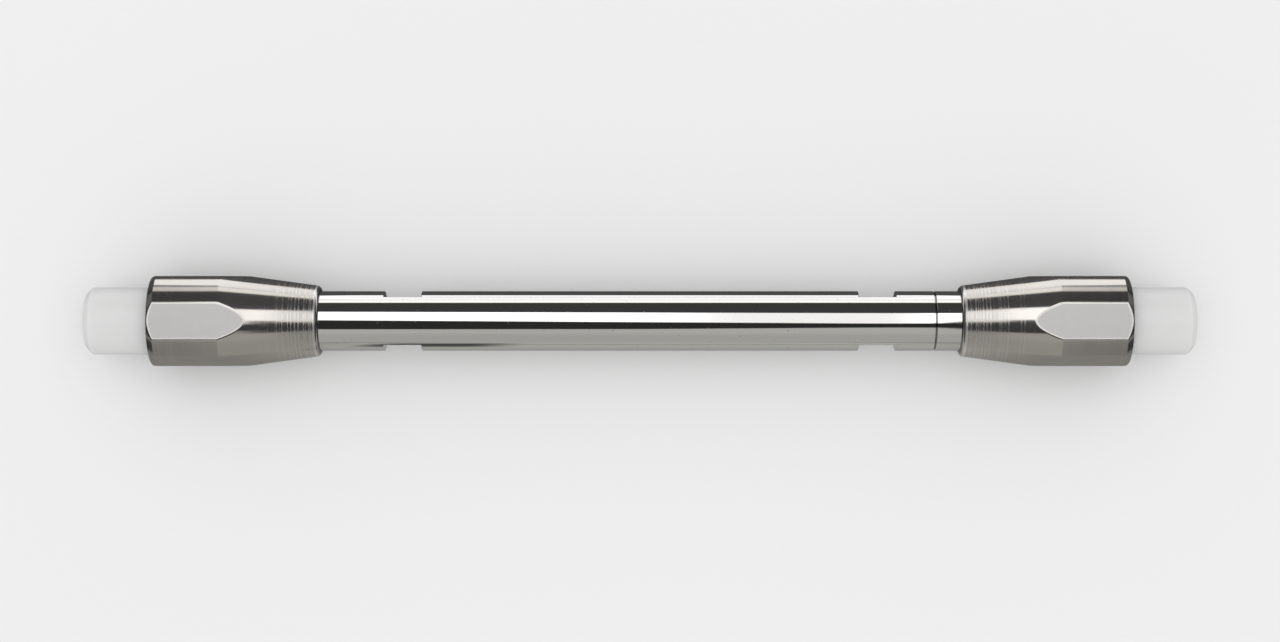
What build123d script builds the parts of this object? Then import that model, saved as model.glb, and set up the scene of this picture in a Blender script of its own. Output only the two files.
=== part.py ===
from build123d import *
from math import radians, tan
import os

# A packed liquid-chromatography column: a steel tube with a screwed steel head on each end,
# a stack of sealing pieces inside each head, and a plastic transport plug in each port.
# Lengths are millimetres. The column lies along X on a wrench flat of each head, with its
# inlet at -X and its outlet at +X. The origin is on the surface under its middle, +Z up.

# ---- Column tube ----
BED_LENGTH = 100.0            # the tube's own length, filled with packing from end to end
BORE_DIAMETER = 4.6
TUBE_DIAMETER = 8.0           # also the outside of the M8 x 0.75 threads at its ends
TUBE_END_CHAMFER = 0.3
PACKING_CLEARANCE = 0.02

TUBE_FLAT_WIDTH = 6.4         # across the pair of holding flats near each end
TUBE_FLAT_LENGTH = 5.0
TUBE_FLAT_FROM_HEAD = 8.55    # round tube between a head and its pair of flats

RING_GROOVE_FROM_HEAD = 3.2   # the groove that marks the outlet end
RING_GROOVE_WIDTH = 0.3
RING_GROOVE_DEPTH = 0.1

# ---- Column head ----
BAR_DIAMETER = 13.0           # the round bar that the head is turned from
WRENCH_WIDTH = 12.0           # across each pair of its four wrench flats
HEAD_LENGTH = 22.55
CONE_LENGTH = 13.1            # from the inner end to the full bar diameter
CONE_END_DIAMETER = 9.4       # at the sharp corner, before its rounding
CONE_END_ROUNDING = 0.65
HEAD_EDGE_ROUNDING = 1.2      # of the outer end
TUBE_ENGAGEMENT = 7.25        # length of tube screwed into the head
TUBE_CLEARANCE = 0.05         # radial, tube to head
THREAD_RUNOUT = 0.3           # the tube's bore in the head goes on past the tube's end
PORT_DIAMETER = 4.9           # 10-32 UNF port
PORT_COUNTERSINK = 0.35

# ---- Stack between the tube's end and the port ----
STACK_DIAMETER = 7.0
STACK_CLEARANCE = 0.05        # radial, stack to head
SCREEN_DIAMETER = 6.4
SCREEN_THICKNESS = 0.25
SCREEN_CLEARANCE = 0.05       # radial, screen to its holder
HOLDER_THICKNESS = 1.2
SOFT_RING_THICKNESS = 0.8
ADAPTER_THICKNESS = 3.6
SPIGOT_DIAMETER = 4.4         # the adapter's nose, which fills the middle of the rings
SPIGOT_CLEARANCE = 0.1        # radial to the rings, and lengthways to the screen
CAPILLARY_DIAMETER = 1.6      # seat of a 1/16 inch capillary
CAPILLARY_DEPTH = 2.0
FERRULE_ANGLE = 40.0          # included angle of the sealing cone
FERRULE_DEPTH = 2.2
THROUGH_HOLE_DIAMETER = 0.5

# ---- Transport plug ----
PLUG_DIAMETER = 9.0
PLUG_HEAD_LENGTH = 8.8
PLUG_END_CHAMFER = 0.85
PLUG_EDGE_ROUNDING = 0.2      # where the plug's head meets the steel
STEM_LENGTH = 7.0             # length of its 10-32 UNF thread
STEM_CLEARANCE = 0.05         # radial, stem to port
NOSE_CLEARANCE = 0.3          # lengthways, nose to the adapter's sealing cone

# ---- Stations along X on the outlet side, and radii that follow from the values above ----
axis_height = WRENCH_WIDTH / 2
tube_end = BED_LENGTH / 2
head_start = tube_end - TUBE_ENGAGEMENT
head_end = head_start + HEAD_LENGTH
holder_end = tube_end + HOLDER_THICKNESS
soft_ring_end = holder_end + SOFT_RING_THICKNESS
adapter_end = soft_ring_end + ADAPTER_THICKNESS
ferrule_bottom = adapter_end - FERRULE_DEPTH
spigot_tip = tube_end + SCREEN_THICKNESS + SPIGOT_CLEARANCE

tube_radius = TUBE_DIAMETER / 2
stack_radius = STACK_DIAMETER / 2
spigot_radius = SPIGOT_DIAMETER / 2
port_radius = PORT_DIAMETER / 2
capillary_radius = CAPILLARY_DIAMETER / 2
ferrule_radius = capillary_radius + FERRULE_DEPTH * tan(radians(FERRULE_ANGLE / 2))


def turned(*corners):
    """A piece turned about the X axis, from the (x, radius) corners of its half outline."""
    return revolve(make_face(Polyline(*corners, close=True)), Axis.X)


def rod(radius, start, end):
    """A round bar about the X axis from one station to another."""
    return turned((start, 0), (end, 0), (end, radius), (start, radius))


def ring(outer_radius, inner_radius, start, end):
    return rod(outer_radius, start, end) - rod(inner_radius, start, end)


def end_rims(piece):
    """The round edges of a turned piece in their order along X."""
    return piece.edges().filter_by(GeomType.CIRCLE).sort_by(Axis.X)


def outside_flats(width, start, end, blank_radius, turns):
    """What a cutter takes off a round blank to leave flats at each of the given turns about X."""
    depth = blank_radius - width / 2
    slab = Box(end - start, 2 * blank_radius, depth, align=(Align.MIN, Align.CENTER, Align.MIN))
    slab = Pos(start, 0, width / 2) * slab
    return [Rot(X=turn) * slab for turn in turns]


def column_tube():
    """Steel tube with a pair of holding flats near each end and a ring groove by the outlet."""
    tube = turned(
        (-tube_end, 0),
        (-tube_end, tube_radius - TUBE_END_CHAMFER),
        (-tube_end + TUBE_END_CHAMFER, tube_radius),
        (tube_end - TUBE_END_CHAMFER, tube_radius),
        (tube_end, tube_radius - TUBE_END_CHAMFER),
        (tube_end, 0),
    )
    tube -= rod(BORE_DIAMETER / 2, -tube_end, tube_end)
    flat_end = head_start - TUBE_FLAT_FROM_HEAD
    flat_start = flat_end - TUBE_FLAT_LENGTH
    for start, end in ((flat_start, flat_end), (-flat_end, -flat_start)):
        tube -= outside_flats(TUBE_FLAT_WIDTH, start, end, tube_radius, (90, 270))
    groove_end = head_start - RING_GROOVE_FROM_HEAD
    groove_start = groove_end - RING_GROOVE_WIDTH
    tube -= ring(tube_radius, tube_radius - RING_GROOVE_DEPTH, groove_start, groove_end)
    return tube


def packed_bed():
    """The packing, held between the two screens."""
    return rod(BORE_DIAMETER / 2 - PACKING_CLEARANCE, -tube_end, tube_end)


def column_head():
    """Head turned from round bar: a long cone, four wrench flats that run out on it, and a
    stepped bore for the tube, the sealing stack and the threaded port."""
    bar_radius = BAR_DIAMETER / 2
    head = turned(
        (head_start, 0),
        (head_start, CONE_END_DIAMETER / 2),
        (head_start + CONE_LENGTH, bar_radius),
        (head_end, bar_radius),
        (head_end, 0),
    )
    head = fillet(end_rims(head)[0], CONE_END_ROUNDING)
    head = fillet(end_rims(head)[-1], HEAD_EDGE_ROUNDING)
    head -= outside_flats(WRENCH_WIDTH, head_start, head_end, bar_radius, (0, 90, 180, 270))
    head -= rod(tube_radius + TUBE_CLEARANCE, head_start, tube_end + THREAD_RUNOUT)
    head -= rod(stack_radius + STACK_CLEARANCE, head_start, adapter_end)
    head -= rod(port_radius, head_start, head_end)
    head -= turned(
        (head_end - PORT_COUNTERSINK, 0),
        (head_end - PORT_COUNTERSINK, port_radius),
        (head_end, port_radius + PORT_COUNTERSINK),
        (head_end, 0),
    )
    return head


def screen():
    """Fine woven steel screen against the tube's end, pressed to a plain disc."""
    return rod(SCREEN_DIAMETER / 2, tube_end, tube_end + SCREEN_THICKNESS)


def screen_holder():
    """Ring that seals on the tube's end and holds the screen in a shallow pocket."""
    holder = ring(stack_radius, spigot_radius + SPIGOT_CLEARANCE, tube_end, holder_end)
    pocket_radius = SCREEN_DIAMETER / 2 + SCREEN_CLEARANCE
    return holder - rod(pocket_radius, tube_end, tube_end + SCREEN_THICKNESS)


def soft_ring():
    """Soft sealing ring between the screen's holder and the adapter."""
    return ring(stack_radius, spigot_radius + SPIGOT_CLEARANCE, holder_end, soft_ring_end)


def fitting_adapter():
    """Steel adapter with a nose to the screen and, in its outer face, the sealing cone and
    the blind seat of a capillary."""
    adapter = turned(
        (spigot_tip, 0),
        (spigot_tip, spigot_radius),
        (soft_ring_end, spigot_radius),
        (soft_ring_end, stack_radius),
        (adapter_end, stack_radius),
        (adapter_end, 0),
    )
    adapter -= turned(
        (ferrule_bottom - CAPILLARY_DEPTH, 0),
        (ferrule_bottom - CAPILLARY_DEPTH, capillary_radius),
        (ferrule_bottom, capillary_radius),
        (adapter_end, ferrule_radius),
        (adapter_end, 0),
    )
    return adapter - rod(THROUGH_HOLE_DIAMETER / 2, spigot_tip, ferrule_bottom)


def plug():
    """Plastic screw plug: a plain round head, a threaded stem and a nose for the cone."""
    nose_tip = ferrule_bottom + NOSE_CLEARANCE
    nose_shoulder = adapter_end + NOSE_CLEARANCE
    stem_radius = port_radius - STEM_CLEARANCE
    grip = rod(PLUG_DIAMETER / 2, head_end, head_end + PLUG_HEAD_LENGTH)
    grip = fillet(end_rims(grip)[0], PLUG_EDGE_ROUNDING)
    grip = chamfer(end_rims(grip)[-1], PLUG_END_CHAMFER)
    stem = turned(
        (nose_tip, 0),
        (nose_tip, capillary_radius),
        (nose_shoulder, ferrule_radius),
        (head_end - STEM_LENGTH, ferrule_radius),
        (head_end - STEM_LENGTH, stem_radius),
        (head_end, stem_radius),
        (head_end, 0),
    )
    return grip + stem


END_PIECES = {
    "head": column_head,
    "screen": screen,
    "screen_holder": screen_holder,
    "soft_ring": soft_ring,
    "fitting_adapter": fitting_adapter,
    "plug": plug,
}

nodes = {"column_tube": column_tube(), "packed_bed": packed_bed()}
for name, make in END_PIECES.items():
    piece = make()
    nodes[f"outlet_{name}"] = piece
    nodes[f"inlet_{name}"] = mirror(piece, Plane.YZ)

os.makedirs("parts", exist_ok=True)
for name, piece in nodes.items():
    export_step(Pos(0, 0, axis_height) * piece, f"parts/{name}.step")
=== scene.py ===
from math import ceil, pi, radians, sin, tan, tau

import bmesh
import bpy
from mathutils import Matrix, Vector


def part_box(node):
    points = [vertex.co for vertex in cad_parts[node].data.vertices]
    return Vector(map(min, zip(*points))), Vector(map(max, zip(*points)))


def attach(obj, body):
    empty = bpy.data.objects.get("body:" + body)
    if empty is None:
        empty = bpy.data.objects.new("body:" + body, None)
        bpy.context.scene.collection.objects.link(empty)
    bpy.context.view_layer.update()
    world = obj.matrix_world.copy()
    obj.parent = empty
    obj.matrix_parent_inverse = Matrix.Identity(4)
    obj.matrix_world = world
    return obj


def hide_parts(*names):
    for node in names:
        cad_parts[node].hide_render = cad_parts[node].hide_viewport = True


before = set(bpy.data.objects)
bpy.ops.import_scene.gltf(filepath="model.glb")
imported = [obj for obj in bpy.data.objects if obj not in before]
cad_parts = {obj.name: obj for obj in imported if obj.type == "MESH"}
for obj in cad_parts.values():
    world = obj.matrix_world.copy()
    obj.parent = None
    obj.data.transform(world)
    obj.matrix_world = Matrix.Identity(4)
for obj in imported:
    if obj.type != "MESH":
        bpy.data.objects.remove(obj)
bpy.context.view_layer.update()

MM = 0.001

# ---- Sizes that the frame gives, in millimetres ----


def box_mm(node):
    """The lowest and the highest corner of a CAD node's box."""
    low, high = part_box(node)
    return low / MM, high / MM


tube_low, tube_high = box_mm("column_tube")
head_low, head_high = box_mm("outlet_head")
plug_low, plug_high = box_mm("outlet_plug")
adapter_low, adapter_high = box_mm("outlet_fitting_adapter")

AXIS_HEIGHT = (tube_low.z + tube_high.z) / 2
TUBE_RADIUS = (tube_high.z - tube_low.z) / 2
TUBE_END = tube_high.x
HEAD_START, HEAD_END = head_low.x, head_high.x
WRENCH_RADIUS = (head_high.z - head_low.z) / 2
PLUG_TIP, PLUG_END = plug_low.x, plug_high.x
PLUG_RADIUS = (plug_high.z - plug_low.z) / 2
ADAPTER_END = adapter_high.x
STACK_RADIUS = (adapter_high.z - adapter_low.z) / 2

# ---- Sizes of the turned and milled forms, in millimetres. X runs along the column's axis ----

SEGMENTS = 184                # faces round a turned piece
ROUNDING_STEP = radians(8)    # turn from one face of a rounded corner to the next
CRISP_ANGLE = radians(12)     # edges that turn by more than this are left unsmoothed

BORE_RADIUS = 2.3
TUBE_CHAMFER = 0.3
TUBE_FLAT_RADIUS = 3.2
TUBE_FLAT_LENGTH = 5.0
TUBE_FLAT_FROM_HEAD = 8.55
SLOT_EDGE_BREAK = 0.07
GROOVE_FROM_HEAD = 3.2        # the ring groove that marks the outlet end
GROOVE_WIDTH = 0.3
GROOVE_FLOOR_WIDTH = 0.12
GROOVE_DEPTH = 0.1

BAR_RADIUS = 6.5
CONE_LENGTH = 13.1
CONE_END_RADIUS = 4.7
CONE_END_ROUNDING = 0.65
HEAD_CHAMFER_LENGTH = 0.85    # of the outer end
HEAD_CHAMFER_DEPTH = 0.6
HEAD_RIM_ROUNDING = 0.14
SLIP = 0.05                   # radial clearance of the tube, the stack and the plug's stem
THREAD_RUNOUT = 0.3           # the tube's bore in the head goes on past the tube's end
PORT_RADIUS = 2.45
PORT_COUNTERSINK = 0.35
WRENCH_FLATS = 4
MILL_OVERRUN = 1.0            # past the head's outer end
FLAT_EDGE_BREAK = 0.085
# Width of the painted highlight along the border inside the edge of each wrench flat.
PAINTED_HIGHLIGHT_WIDTH = 0.17        # bright border inside the edge of each wrench flat

PLUG_CHAMFER = 0.85
PLUG_ROUNDING = 0.2           # where the plug's head meets the steel
PLUG_END_ROUNDING = 0.45      # of both corners of the chamfer
STEM_LENGTH = 7.0
NECK_RADIUS = 1.9
NECK_LENGTH = 0.7
THREAD_PITCH = 25.4 / 32
THREAD_DEPTH = 0.45
THREAD_STEPS = 96             # steps in each turn of the thread
THREAD_LEAD_IN = 1.5          # turns made before the stem's end, which are cut off again
THREAD_SPARE_TURNS = 4
NOSE_RADIUS = 1.6
NOSE_TIP_RADIUS = 0.8
NOSE_CLEARANCE = 0.3          # from the plug's nose to the adapter's sealing cone

# ---- Tolerances of the mesh work, in millimetres ----

SAME_POINT = 1e-5
SAME_THREAD_POINT = 2e-3      # the turns of a thread meet less exactly
ON_CUT = 1e-6
ON_STATION = 1e-3
ON_CONE_BASE = 1e-4
ON_FLAT = 0.01

# ---- The finishes of a head, in the order of its material slots ----

# The last slot holds the painted highlight along the border of each wrench flat.
TURNED, FLAT, BORED, PAINTED_HIGHLIGHT = range(4)

# ---- Camera and floor ----

IMAGE_WIDTH = 1280
CAMERA_DISTANCE = 343.0       # millimetres above the column's axis
PIXELS_PER_MM = 7.45          # at the height of the axis
SENSOR_WIDTH = 36.0
CLIP_START, CLIP_END = 0.01, 20.0
FLOOR_REACH = 3.0             # metres to each side
FLOOR_DROP = 2e-5             # metres under the flats that the column lies on


# ---- Node trees written as plain maths. Lengths in them are metres and angles are radians ----


class Value:
    """What leaves a socket. Plain maths on a number adds Math nodes behind it."""

    def __init__(self, tree, socket):
        self.tree = tree
        self.socket = socket

    def __add__(self, other):
        return self.tree.maths("ADD", self, other)

    def __radd__(self, other):
        return self.tree.maths("ADD", other, self)

    def __sub__(self, other):
        return self.tree.maths("SUBTRACT", self, other)

    def __rsub__(self, other):
        return self.tree.maths("SUBTRACT", other, self)

    def __mul__(self, other):
        return self.tree.maths("MULTIPLY", self, other)

    def __rmul__(self, other):
        return self.tree.maths("MULTIPLY", other, self)

    def __neg__(self):
        return self.tree.maths("SUBTRACT", 0.0, self)

    def __abs__(self):
        return self.tree.maths("ABSOLUTE", self)


class Tree:
    """A node tree with one way to add any node."""

    def __init__(self, node_tree):
        self.nodes = node_tree.nodes
        self.links = node_tree.links

    def add(self, kind, settings=None, inputs=None):
        node = self.nodes.new(kind)
        for name, setting in (settings or {}).items():
            setattr(node, name, setting)
        for name, given in (inputs or {}).items():
            self.feed(node.inputs[name], given)
        return node

    def feed(self, socket, given):
        if isinstance(given, Value):
            self.links.new(given.socket, socket)
        else:
            socket.default_value = given

    def value(self, node, output=0):
        return Value(self, node.outputs[output])

    def maths(self, operation, *operands):
        inputs = dict(enumerate(operands))
        return self.value(self.add("ShaderNodeMath", {"operation": operation}, inputs))

    def held(self, number, lowest, highest):
        """The number, held between two others."""
        return self.maths("MINIMUM", self.maths("MAXIMUM", number, lowest), highest)

    def rise(self, number, start, end):
        """0 below start, 1 above end, and smooth between them."""
        settings = {"interpolation_type": "SMOOTHSTEP"}
        inputs = {"Value": number, "From Min": start, "From Max": end}
        return self.value(self.add("ShaderNodeMapRange", settings, inputs))

    def band(self, number, start, full, fading, end):
        """1 from full to fading, 0 before start and past end, and smooth between them."""
        return self.rise(number, start, full) * (1.0 - self.rise(number, fading, end))

    def blend(self, factor, first, second):
        """A colour from first to second as the factor goes from 0 to 1."""
        inputs = {0: factor, 6: first, 7: second}
        return self.value(self.add("ShaderNodeMix", {"data_type": "RGBA"}, inputs), 2)

    def tinted(self, level, olive):
        """A grey of the given level that turns olive as the second number goes from 0 to 1."""
        channels = {0: level, 1: level, 2: level * (1.0 - olive * 0.055)}
        return self.value(self.add("ShaderNodeCombineColor", {}, channels))

    def background(self, colour, strength):
        inputs = {"Color": colour, "Strength": strength}
        return self.value(self.add("ShaderNodeBackground", {}, inputs))

    def mix_shaders(self, factor, first, second):
        return self.value(self.add("ShaderNodeMixShader", {}, {0: factor, 1: first, 2: second}))

    def place(self, output="Object"):
        return self.value(self.add("ShaderNodeTexCoord"), output)

    def scaled(self, scale):
        """The place with each axis scaled, so that a pattern can be stretched along one."""
        return self.value(self.add("ShaderNodeMapping", {}, {"Vector": self.place(), "Scale": scale}))

    def noise(self, scale, detail=2.0, roughness=0.5, vector=None):
        inputs = {"Vector": vector or self.place(), "Scale": scale, "Detail": detail, "Roughness": roughness}
        return self.value(self.add("ShaderNodeTexNoise", {}, inputs))

    def axes(self, vector):
        """The three parts of a place or a direction."""
        node = self.add("ShaderNodeSeparateXYZ", {}, {"Vector": vector})
        return [self.value(node, axis) for axis in range(3)]


class Finish(Tree):
    """A surface finish: a Principled shader with its constants set, ready for patterns."""

    def __init__(self, name, **constants):
        self.material = bpy.data.materials.new(name)
        self.material.use_nodes = True
        super().__init__(self.material.node_tree)
        self.shader = self.nodes["Principled BSDF"]
        for socket, constant in constants.items():
            self.set(socket.replace("_", " "), constant)

    def set(self, socket, given):
        self.feed(self.shader.inputs[socket], given)

    def bump(self, height, distance):
        """Bump in which a height of 1 stands for the given distance."""
        inputs = {"Height": height, "Distance": distance, "Strength": 1.0}
        self.set("Normal", self.value(self.add("ShaderNodeBump", {}, inputs)))


def grey(level, warmth=0.0):
    """A grey colour, neutral or a little warmer."""
    return (level * (1 + warmth), level, level * (1 - warmth), 1.0)


# ---- Finishes ----


def polished_tube_finish():
    """Mirror-polished steel with faint hairlines, specks of handling and a ring groove darkened with painted
    shade.
    """
    finish = Finish("polished_tube", Metallic=1.0)
    hairlines = finish.noise(900.0, detail=3.0, vector=finish.scaled((0.06, 1.0, 1.0)))
    specks = finish.rise(finish.noise(2600.0, detail=1.0), 0.74, 0.80)
    haze = finish.noise(160.0)
    along, _, _ = finish.axes(finish.place())
    from_groove_start = along - (HEAD_START - GROOVE_FROM_HEAD - GROOVE_WIDTH) * MM
    # Painted shade: the ring groove is darkened in the base colour, as shade in the recess.
    painted_groove_shade = finish.band(from_groove_start, 0.01 * MM, 0.06 * MM, 0.24 * MM, 0.29 * MM)
    steel = finish.blend(specks, grey(0.81, 0.01), grey(0.52, 0.02))
    finish.set("Base Color", finish.blend(painted_groove_shade, steel, grey(0.26, 0.03)))
    finish.set("Roughness", 0.035 + haze * 0.03 + specks * 0.2)
    finish.bump(hairlines + specks * 0.6, 0.9e-6)
    return finish.material


def turned_steel_finish():
    """Fine-turned steel: rings round the axis, scored more towards the cone's small end, where the scores
    are also painted brighter as a painted glint. The small end has a painted highlight on its rim and
    painted shade at its joint with the tube."""
    finish = Finish("turned_steel", Metallic=1.0, Coat_Weight=0.5, Coat_Roughness=0.5, Coat_IOR=1.9)
    along, _, _ = finish.axes(finish.place())
    from_end = abs(along) - HEAD_START * MM
    near_tube = 1.0 - finish.rise(from_end, 0.5 * MM, 12.5 * MM)
    rings = finish.noise(3400.0, detail=3.0, roughness=0.6, vector=finish.scaled((1.0, 0.0, 0.0)))
    # Turning scores: real marks that are rougher, and also painted brighter as a painted glint.
    scores_and_glint = finish.noise(4300.0, detail=1.0, roughness=0.6, vector=finish.scaled((1.0, 0.0, 0.0)))
    scores_and_glint = finish.rise(scores_and_glint + near_tube * 0.14, 0.60, 0.69) * (0.4 + near_tube * 0.6)
    # Painted shade: the base colour goes dark where the cone's small end meets the tube.
    painted_joint_shade = 1.0 - finish.rise(from_end, 0.05 * MM, 0.18 * MM)
    # Painted highlight: a bright, rougher band on the rounded rim of the cone's small end.
    rim = finish.band(from_end, 0.30 * MM, 0.36 * MM, 0.60 * MM, 0.68 * MM)
    clouds = finish.noise(300.0, detail=3.0)
    steel = finish.blend(clouds, grey(0.53, 0.055), grey(0.59, 0.055))
    # Here the painted rim highlight and the scores' painted glint lighten the steel's colour.
    steel = finish.blend(rim + scores_and_glint * 0.3, steel, grey(0.92, 0.02))
    finish.set("Base Color", finish.blend(painted_joint_shade, steel, grey(0.12)))
    finish.set("Roughness", 0.08 + clouds * 0.04 + scores_and_glint * 0.18 + rim * 0.22)
    finish.bump(rings, 0.6e-6)
    return finish.material


def milled_flat_finish():
    """Milled and blasted flats with a satin, faintly cloudy face."""
    finish = Finish("milled_flat", Metallic=1.0)
    clouds = finish.noise(420.0, detail=4.0, roughness=0.55)
    grain = finish.noise(5200.0)
    finish.set("Base Color", finish.blend(clouds, grey(0.64, 0.02), grey(0.74, 0.015)))
    finish.set("Roughness", 0.30 + clouds * 0.12)
    finish.bump(clouds * 2.0 + grain * 0.25, 3.0e-6)
    return finish.material


def painted_highlight_edge_finish():
    """The border of each flat, painted brighter: a painted highlight along the flat's broken edge."""
    finish = Finish("painted_highlight_edge", Metallic=1.0)
    highlight_mottle = finish.noise(700.0)
    finish.set("Base Color", finish.blend(highlight_mottle, grey(0.82, 0.02), grey(0.90, 0.02)))
    finish.set("Roughness", 0.26 + highlight_mottle * 0.1)
    finish.bump(highlight_mottle, 1.5e-6)
    return finish.material


def bored_steel_finish():
    """Drilled and reamed steel inside the heads and adapters."""
    finish = Finish("bored_steel", Metallic=1.0)
    rings = finish.noise(2600.0, detail=3.0, roughness=0.6, vector=finish.scaled((1.0, 0.05, 0.05)))
    finish.set("Base Color", finish.blend(rings, grey(0.42), grey(0.56)))
    finish.set("Roughness", 0.22 + rings * 0.15)
    finish.bump(rings, 3.0e-6)
    return finish.material


def plug_plastic_finish():
    """White, slightly milky moulded plastic that lets light through its edges."""
    finish = Finish(
        "plug_plastic",
        Subsurface_Weight=0.55,
        Subsurface_Radius=(0.0022, 0.0022, 0.0021),
        Subsurface_Scale=1.0,
        IOR=1.45,
    )
    milk = finish.noise(260.0, detail=3.0)
    skin = finish.noise(3000.0)
    finish.set("Base Color", finish.blend(milk, grey(0.68, 0.002), grey(0.73, 0.002)))
    finish.set("Roughness", 0.36 + milk * 0.1)
    finish.bump(milk * 3.0 + skin * 0.5, 2.0e-6)
    return finish.material


def seal_polymer_finish():
    """Matt white polymer of the soft rings."""
    finish = Finish("seal_polymer", Subsurface_Weight=0.2, Subsurface_Scale=0.001)
    skin = finish.noise(2400.0)
    finish.set("Base Color", finish.blend(skin, grey(0.80), grey(0.88)))
    finish.set("Roughness", 0.45 + skin * 0.15)
    finish.bump(skin, 3.0e-6)
    return finish.material


def packing_finish():
    """Packed white silica, a fine bright powder."""
    finish = Finish("packing", Metallic=0.0)
    powder = finish.noise(9000.0, detail=4.0, roughness=0.7)
    finish.set("Base Color", finish.blend(powder, grey(0.78), grey(0.92)))
    finish.set("Roughness", 0.8 + powder * 0.15)
    finish.bump(powder, 6.0e-6)
    return finish.material


def woven_screen_finish():
    """Steel cloth: wires over and under each other, too fine for the eye to see singly."""
    finish = Finish("woven_screen", Metallic=1.0)
    _, across, up = finish.axes(finish.place())
    pitch = 0.09 * MM
    weave = finish.maths("SINE", across * (tau / pitch)) * finish.maths("SINE", up * (tau / pitch))
    lit = finish.rise(weave, -0.5, 0.5)
    finish.set("Base Color", finish.blend(lit, grey(0.25), grey(0.6)))
    finish.set("Roughness", 0.5 - lit * 0.2)
    finish.bump(lit, 8.0e-6)
    return finish.material


# ---- Turning and milling ----


def outline(*corners):
    """The points of a half outline, from (x, radius) corners. A third number rounds a corner."""
    points = []
    for index, (x, radius, *rounding) in enumerate(corners):
        corner = Vector((x, radius))
        if not rounding:
            points.append(corner)
            continue
        before = (Vector(corners[index - 1][:2]) - corner).normalized()
        after = (Vector(corners[(index + 1) % len(corners)][:2]) - corner).normalized()
        half = before.angle(after) / 2
        centre = corner + (before + after).normalized() * rounding[0] / sin(half)
        start = corner + before * rounding[0] / tan(half) - centre
        end = corner + after * rounding[0] / tan(half) - centre
        sweep = -start.angle_signed(end)
        steps = ceil(abs(sweep) / ROUNDING_STEP)
        for step in range(steps + 1):
            points.append(centre + Matrix.Rotation(sweep * step / steps, 2) @ start)
    return points


def turn(bm, points, closed=False):
    """Turns the points of an outline about the axis. A closed outline makes a piece with a bore."""
    verts = [bm.verts.new((x, 0.0, radius)) for x, radius in points]
    pairs = list(zip(verts, verts[1:]))
    if closed:
        pairs.append((verts[-1], verts[0]))
    edges = [bm.edges.new(pair) for pair in pairs]
    bmesh.ops.spin(
        bm,
        geom=verts + edges,
        axis=(1, 0, 0),
        cent=(0, 0, 0),
        angle=tau,
        steps=SEGMENTS,
        use_merge=True,
    )
    bmesh.ops.remove_doubles(bm, verts=bm.verts, dist=SAME_POINT)


def outward(angle):
    """The direction away from the axis at an angle about it, from straight up."""
    return Matrix.Rotation(angle, 3, "X") @ Vector((0, 0, 1))


def edges_of(faces):
    """The edges of the faces, each once and always in the same order."""
    return list(dict.fromkeys(e for f in faces for e in f.edges))


def verts_of(parts):
    """The vertices of faces or edges, each once and always in the same order."""
    return list(dict.fromkeys(v for part in parts for v in part.verts))


def cut_away(bm, start, end, radius, angle):
    """Takes off what lies beyond a plane beside the axis, between two stations, and leaves a gap."""
    away = outward(angle)

    def stretch():
        return [f for f in bm.faces if start < f.calc_center_median().x < end]

    faces = stretch()
    bmesh.ops.bisect_plane(
        bm,
        geom=faces + edges_of(faces) + verts_of(faces),
        dist=ON_CUT,
        plane_co=away * radius,
        plane_no=away,
    )
    chips = [f for f in stretch() if f.calc_center_median().dot(away) > radius]
    bmesh.ops.delete(bm, geom=chips, context="FACES")


def gap_edges(bm):
    return [e for e in bm.edges if e.is_boundary]


def break_edges(bm, edges, width, segments):
    """Rounds the edges a little and returns the faces that this makes."""
    return bmesh.ops.bevel(
        bm,
        geom=edges,
        offset=width,
        offset_type="OFFSET",
        segments=segments,
        profile=0.5,
        affect="EDGES",
        material=-1,
        clamp_overlap=False,
    )["faces"]


def mill_through(bm, start, end, radius, angle):
    """Mills a wrench flat that runs out on the turned surface, breaks its edge and gives it a border
    with a painted highlight."""
    cut_away(bm, start, end, radius, angle)
    bmesh.ops.remove_doubles(bm, verts=verts_of(gap_edges(bm)), dist=FLAT_EDGE_BREAK / 2)
    flat = bmesh.ops.holes_fill(bm, edges=gap_edges(bm))["faces"]
    for face in flat:
        face.material_index = FLAT
    broken = break_edges(bm, edges_of(flat), FLAT_EDGE_BREAK, 3)
    for face in broken:
        face.material_index = TURNED
        for edge in face.edges:
            edge.smooth = all(f in broken for f in edge.link_faces)
    away = outward(angle)
    flat = [f for f in bm.faces if f.material_index == FLAT]
    flat = [f for f in flat if f.calc_center_median().dot(away) > radius - ON_FLAT]
    # The border inside each flat gets the painted highlight.
    inset = bmesh.ops.inset_region(bm, faces=flat, thickness=PAINTED_HIGHLIGHT_WIDTH, use_even_offset=True)
    for face in inset["faces"]:
        face.material_index = PAINTED_HIGHLIGHT
    bmesh.ops.remove_doubles(bm, verts=verts_of(flat), dist=PAINTED_HIGHLIGHT_WIDTH / 3)


def mill_slot(bm, start, end, radius, angle):
    """Mills a flat with a wall at each end, and breaks its edges."""
    cut_away(bm, start, end, radius, angle)
    rim = gap_edges(bm)
    sides = [e for e in rim if abs(e.verts[0].co.x - e.verts[1].co.x) > (end - start) / 2]
    bmesh.ops.contextual_create(bm, geom=sides)
    bmesh.ops.holes_fill(bm, edges=gap_edges(bm))
    break_edges(bm, rim, SLOT_EDGE_BREAK, 2)


def at_station(edge, station, tolerance):
    return all(abs(v.co.x - station) < tolerance for v in edge.verts)


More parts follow.
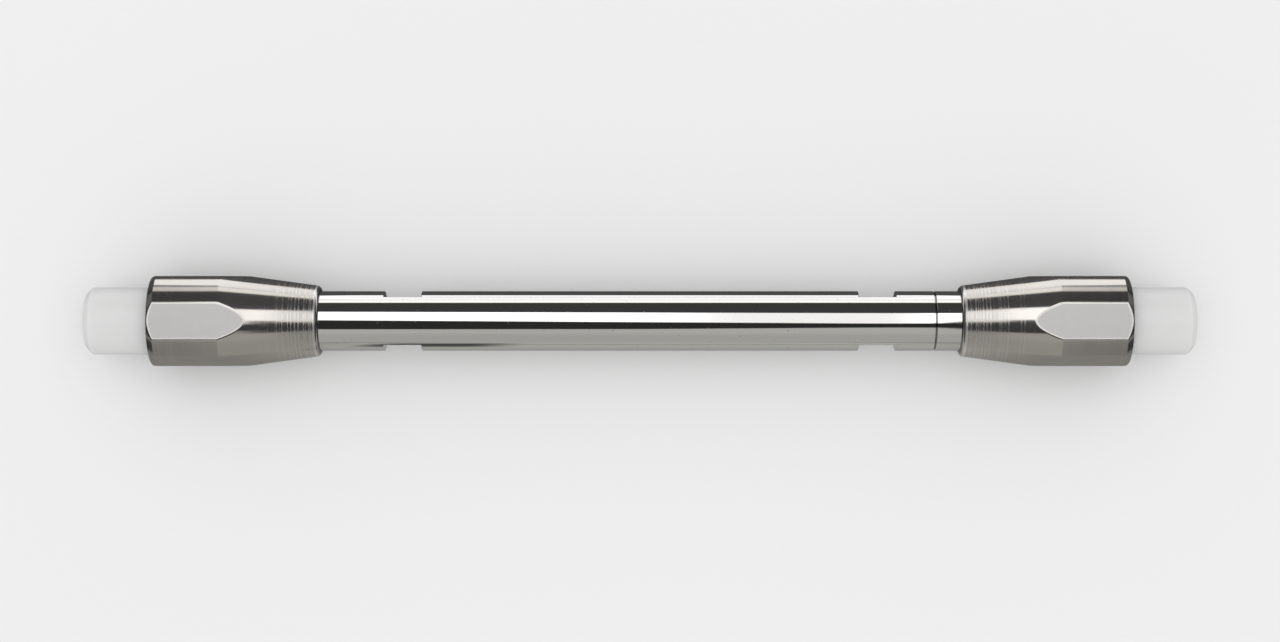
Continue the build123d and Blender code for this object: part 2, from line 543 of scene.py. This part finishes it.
def make_piece(name, bm, finishes, node, body, turned_round=False):
    """Moves a piece from the axis to its real place, turned round at the inlet, and dresses it."""
    bmesh.ops.recalc_face_normals(bm, faces=bm.faces)
    for face in bm.faces:
        face.smooth = True
    for edge in bm.edges:
        at_cone_base = at_station(edge, HEAD_START + CONE_LENGTH, ON_CONE_BASE)
        if at_cone_base or edge.calc_face_angle() > CRISP_ANGLE:
            edge.smooth = False
    half_turn = Matrix.Rotation(pi if turned_round else 0.0, 4, "Z")
    place = Matrix.Translation((0, 0, AXIS_HEIGHT * MM)) @ half_turn @ Matrix.Scale(MM, 4)
    bmesh.ops.transform(bm, matrix=place, verts=bm.verts)
    mesh = bpy.data.meshes.new(name)
    bm.to_mesh(mesh)
    bm.free()
    piece = bpy.data.objects.new(name, mesh)
    bpy.context.scene.collection.objects.link(piece)
    for finish in finishes:
        mesh.materials.append(finish)
    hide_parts(node)
    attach(piece, body)


# ---- Pieces ----


def tube_mesh():
    """Tube with its chamfered ends, two pairs of holding flats and the outlet's ring groove."""
    flat_end = HEAD_START - TUBE_FLAT_FROM_HEAD
    flat_start = flat_end - TUBE_FLAT_LENGTH
    groove_end = HEAD_START - GROOVE_FROM_HEAD
    groove_start = groove_end - GROOVE_WIDTH
    groove_middle = (groove_start + groove_end) / 2
    stations = [-flat_end, -flat_start, flat_start, flat_end]
    bm = bmesh.new()
    turn(
        bm,
        outline(
            (-TUBE_END, BORE_RADIUS),
            (-TUBE_END, TUBE_RADIUS - TUBE_CHAMFER),
            (-TUBE_END + TUBE_CHAMFER, TUBE_RADIUS),
            *[(station, TUBE_RADIUS) for station in stations],
            (groove_start, TUBE_RADIUS),
            (groove_middle - GROOVE_FLOOR_WIDTH / 2, TUBE_RADIUS - GROOVE_DEPTH),
            (groove_middle + GROOVE_FLOOR_WIDTH / 2, TUBE_RADIUS - GROOVE_DEPTH),
            (groove_end, TUBE_RADIUS),
            (TUBE_END - TUBE_CHAMFER, TUBE_RADIUS),
            (TUBE_END, TUBE_RADIUS - TUBE_CHAMFER),
            (TUBE_END, BORE_RADIUS),
        ),
        closed=True,
    )
    for start, end in ((-flat_end, -flat_start), (flat_start, flat_end)):
        for angle in (-pi / 2, pi / 2):
            mill_slot(bm, start, end, TUBE_FLAT_RADIUS, angle)
    return bm


def head_mesh():
    """Head with its long cone, chamfered outer end, stepped bore and four wrench flats."""
    tube_bore = TUBE_RADIUS + SLIP
    stack_bore = STACK_RADIUS + SLIP
    bm = bmesh.new()
    turn(
        bm,
        outline(
            (HEAD_START, tube_bore),
            (HEAD_START, CONE_END_RADIUS, CONE_END_ROUNDING),
            (HEAD_START + CONE_LENGTH, BAR_RADIUS),
            (HEAD_END - HEAD_CHAMFER_LENGTH, BAR_RADIUS),
            (HEAD_END, BAR_RADIUS - HEAD_CHAMFER_DEPTH, HEAD_RIM_ROUNDING),
            (HEAD_END, PORT_RADIUS + PORT_COUNTERSINK),
            (HEAD_END - PORT_COUNTERSINK, PORT_RADIUS),
            (ADAPTER_END, PORT_RADIUS),
            (ADAPTER_END, stack_bore),
            (TUBE_END + THREAD_RUNOUT, stack_bore),
            (TUBE_END + THREAD_RUNOUT, tube_bore),
        ),
        closed=True,
    )
    for face in bm.faces:
        middle = face.calc_center_median()
        inside = middle.yz.length < tube_bore + SLIP
        if inside and HEAD_START < middle.x < HEAD_END:
            face.material_index = BORED
    for flat in range(WRENCH_FLATS):
        angle = flat * tau / WRENCH_FLATS
        mill_through(bm, HEAD_START, HEAD_END + MILL_OVERRUN, WRENCH_RADIUS, angle)
    return bm


def thread_mesh(bm, start, end, crest, root):
    """Right-hand thread about the axis between two stations, open at both of them."""
    before_start = start - THREAD_PITCH * THREAD_LEAD_IN
    turns = int((end - start) / THREAD_PITCH) + THREAD_SPARE_TURNS
    # One pitch of the thread: the root, a flank up, the crest and a flank down, in pitches.
    profile = [(0.0, root), (0.25, root), (0.5625, crest), (0.6875, crest), (1.0, root)]
    verts = [bm.verts.new((before_start + x * THREAD_PITCH, 0.0, radius)) for x, radius in profile]
    edges = [bm.edges.new(pair) for pair in zip(verts, verts[1:])]
    bmesh.ops.spin(
        bm,
        geom=verts + edges,
        axis=(1, 0, 0),
        cent=(0, 0, 0),
        dvec=(THREAD_PITCH / THREAD_STEPS, 0, 0),
        angle=tau * turns,
        steps=THREAD_STEPS * turns,
    )
    bmesh.ops.remove_doubles(bm, verts=bm.verts, dist=SAME_THREAD_POINT)
    for station, direction in ((start, -1), (end, 1)):
        bmesh.ops.bisect_plane(
            bm,
            geom=bm.verts[:] + bm.edges[:] + bm.faces[:],
            dist=SAME_POINT,
            plane_co=(station, 0, 0),
            plane_no=(direction, 0, 0),
            clear_outer=True,
        )


def plug_mesh():
    """Screw plug: a round head with softened edges, a neck, a threaded stem and a tapered nose."""
    stem_end = HEAD_END - STEM_LENGTH
    thread_end = HEAD_END - NECK_LENGTH
    stem_radius = PORT_RADIUS - SLIP
    bm = bmesh.new()
    thread_mesh(bm, stem_end, thread_end, stem_radius, stem_radius - THREAD_DEPTH)
    turn(
        bm,
        outline(
            (thread_end, NECK_RADIUS),
            (HEAD_END, NECK_RADIUS),
            (HEAD_END, PLUG_RADIUS, PLUG_ROUNDING),
            (PLUG_END - PLUG_CHAMFER, PLUG_RADIUS, PLUG_END_ROUNDING),
            (PLUG_END, PLUG_RADIUS - PLUG_CHAMFER, PLUG_END_ROUNDING),
            (PLUG_END, 0.0),
        ),
    )
    turn(
        bm,
        outline(
            (PLUG_TIP, 0.0),
            (PLUG_TIP, NOSE_TIP_RADIUS),
            (ADAPTER_END + NOSE_CLEARANCE, NOSE_RADIUS),
            (stem_end, NOSE_RADIUS),
        ),
    )
    for station in (stem_end, thread_end):
        rims = [e for e in gap_edges(bm) if at_station(e, station, ON_STATION)]
        bmesh.ops.triangle_fill(bm, edges=rims, use_beauty=True)
    return bm


def build_column():
    """Makes the pieces that show, and gives the CAD nodes inside the column their finishes."""
    tube = polished_tube_finish()
    turned = turned_steel_finish()
    flat = milled_flat_finish()
    # The painted highlight along the border of each wrench flat.
    painted_highlight = painted_highlight_edge_finish()
    bored = bored_steel_finish()
    plastic = plug_plastic_finish()
    head_finishes = [turned, flat, bored, painted_highlight]
    make_piece("tube", tube_mesh(), [tube], "column_tube", "column")
    for end, turned_round in (("inlet", True), ("outlet", False)):
        make_piece(
            f"{end}_end_head",
            head_mesh(),
            head_finishes,
            f"{end}_head",
            "column",
            turned_round,
        )
        make_piece(
            f"{end}_screw_plug",
            plug_mesh(),
            [plastic],
            f"{end}_plug",
            f"{end}_plug",
            turned_round,
        )
    inner = {
        "packed_bed": packing_finish(),
        "screen": woven_screen_finish(),
        "screen_holder": bored,
        "soft_ring": seal_polymer_finish(),
        "fitting_adapter": bored,
    }
    for name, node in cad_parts.items():
        kind = name.removeprefix("inlet_").removeprefix("outlet_")
        if kind in inner:
            for material_slot in node.material_slots:
                material_slot.material = inner[kind]


# ---- Stage ----


def studio_colour(tree, direction):
    """What a polished surface sees in each direction: a long soft light above with a dark card on each
    side of it, a bright wall behind and an olive room in front. The studio dims towards both ends."""
    along, across, up = tree.axes(direction)
    around = tree.maths("ARCTAN2", across, up)
    reach = abs(along)
    # The tube and the cones mirror a reach of up to 0.14, and the heads' round parts one from 0.16.
    calm = 1.0 - tree.rise(reach, 0.135, 0.18)
    # From inlet to outlet the light's front edge swings forward and the card in front of it grows
    # narrower. At the outlet's cone both are set back, and before it the light is dimmer.
    drift = tree.held(along, -0.13, 0.09) * calm * radians(50.0)
    taper = tree.held(along, 0.0, 0.09) * radians(60.0) * (1.0 - tree.rise(along, 0.117, 0.131))
    lift = tree.rise(along, 0.113, 0.131) * calm * radians(11.0)
    fade = tree.band(along, -0.005, 0.04, 0.098, 0.118) * 0.68
    room_level = 0.40
    # Each edge between two things in the studio, from the front to the back: its middle and its
    # width in degrees from straight up, how far it is shifted, and the level beyond it.
    edges = [
        (-52.0, 20.0, 0.0, 0.46),                                   # back of the room
        (-31.5, 3.0, drift * 0.15 - lift * 0.3 + taper, 0.025),     # card in front
        (-4.0, 3.0, lift - drift * 1.2, 1.75 - fade),               # soft light
        (32.5, 3.0, drift * -0.5, 0.045),                           # card behind
        (75.5, 4.0, 0.0, 1.25),                                     # wall
        (87.5, 1.0, 0.0, 0.92),                                     # foot of the wall
    ]
    level = room_level
    total = room_level
    for middle, width, shift, next_level in edges:
        start = shift + radians(middle - width / 2)
        end = shift + radians(middle + width / 2)
        total = tree.rise(around, start, end) * (next_level - level) + total
        level = next_level
    shade = tree.rise(reach, 0.148, 0.166) * 0.35 + tree.rise(along, 0.148, 0.166) * 0.045
    dark_ends = tree.rise(reach, 0.50, 0.60) * 0.9
    in_front = 1.0 - tree.rise(around, radians(-8.0), radians(2.0))
    card_top = tree.band(around, radians(46.0), radians(66.0), radians(78.0), radians(85.0))
    card_foot = tree.band(around, radians(30.0), radians(34.0), radians(42.0), radians(52.0))
    olive = in_front + card_top * 1.2 - card_foot * 0.5
    return tree.tinted(total * (1.0 - shade) * (1.0 - dark_ends), olive)


def light_world():
    """Lights the column evenly, shows the studio to glossy surfaces and a plain grey to the camera."""
    world = bpy.data.worlds.new("studio")
    bpy.context.scene.world = world
    world.use_nodes = True
    tree = Tree(world.node_tree)
    tree.nodes.clear()
    rays = tree.add("ShaderNodeLightPath")
    seen = tree.background(grey(0.86), 1.0)
    soft = tree.background(grey(1.0), 0.9)
    reflected = tree.background(studio_colour(tree, tree.place("Generated")), 1.0)
    lit = tree.mix_shaders(tree.value(rays, "Is Glossy Ray"), soft, reflected)
    whole = tree.mix_shaders(tree.value(rays, "Is Camera Ray"), lit, seen)
    tree.add("ShaderNodeOutputWorld", {}, {"Surface": whole})


def floor_finish():
    """Pale matt floor. To glossy rays it glows instead, with a painted reflection of a studio: dark near the
    column, bright further behind it, olive in front of it with one dark streak, and dark past the heads'
    ends."""
    finish = Finish("pale_floor", Roughness=0.9, Specular_IOR_Level=0.2)
    mottle = finish.noise(6.0, detail=3.0)
    finish.set("Base Color", finish.blend(mottle, grey(0.84), grey(0.87)))
    along, across, _ = finish.axes(finish.place())
    at_head = finish.rise(abs(along), 0.038, 0.055)
    beyond = finish.rise(abs(along), 0.078, 0.095) * finish.rise(across, -0.08, -0.05)
    behind_level = finish.rise(across - at_head * 0.006, 0.017, 0.019) * (1.08 + at_head * 0.2)
    in_front = 1.0 - finish.rise(across, -0.003, 0.0)
    front_level = (0.26 + finish.rise(-across, 0.006, 0.02) * 0.1) * in_front * (1.0 - at_head * 0.38)
    streak = finish.band(across, -0.085, -0.065, -0.021, -0.014)
    streak = streak * finish.band(along, -0.043, -0.036, -0.025, -0.016)
    level = (0.075 + behind_level + front_level) * (1.0 - beyond * 0.88) * (1.0 - streak * 0.8)
    # To glossy rays the floor glows with this painted reflection, though it is no lamp.
    glow = {"Color": finish.tinted(level, in_front), "Strength": 1.0}
    mirrored = finish.value(finish.add("ShaderNodeEmission", {}, glow))
    rays = finish.add("ShaderNodeLightPath")
    matt = finish.value(finish.shader)
    mixed = finish.mix_shaders(finish.value(rays, "Is Glossy Ray"), matt, mirrored)
    finish.feed(finish.nodes["Material Output"].inputs["Surface"], mixed)
    return finish.material


def lay_floor():
    bm = bmesh.new()
    bmesh.ops.create_grid(bm, x_segments=8, y_segments=8, size=FLOOR_REACH)
    bmesh.ops.translate(bm, verts=bm.verts, vec=(0, 0, -FLOOR_DROP))
    mesh = bpy.data.meshes.new("floor")
    bm.to_mesh(mesh)
    bm.free()
    mesh.materials.append(floor_finish())
    floor = bpy.data.objects.new("floor", mesh)
    bpy.context.scene.collection.objects.link(floor)


def hang_light(name, place, size, power):
    """A large soft lamp that faces the column's middle and that nothing shiny reflects."""
    lamp = bpy.data.lights.new(name, "AREA")
    lamp.shape = "RECTANGLE"
    lamp.size, lamp.size_y = size
    lamp.energy = power
    light = bpy.data.objects.new(name, lamp)
    light.location = place
    light.rotation_euler = (-Vector(place)).to_track_quat("-Z", "Y").to_euler()
    light.visible_camera = False
    light.visible_glossy = False
    bpy.context.scene.collection.objects.link(light)


def set_camera():
    """A camera straight above the column, looking down."""
    data = bpy.data.cameras.new("camera")
    data.sensor_width = SENSOR_WIDTH
    data.lens = SENSOR_WIDTH * PIXELS_PER_MM * CAMERA_DISTANCE / IMAGE_WIDTH
    data.clip_start = CLIP_START
    data.clip_end = CLIP_END
    camera = bpy.data.objects.new("camera", data)
    camera.location = (0, 0, (AXIS_HEIGHT + CAMERA_DISTANCE) * MM)
    bpy.context.scene.collection.objects.link(camera)
    bpy.context.scene.camera = camera


set_camera()
light_world()
lay_floor()
hang_light("key_light", place=(0.0, 0.12, 0.8), size=(1.2, 0.9), power=1.2)
build_column()

bpy.context.scene.view_settings.view_transform = "Standard"
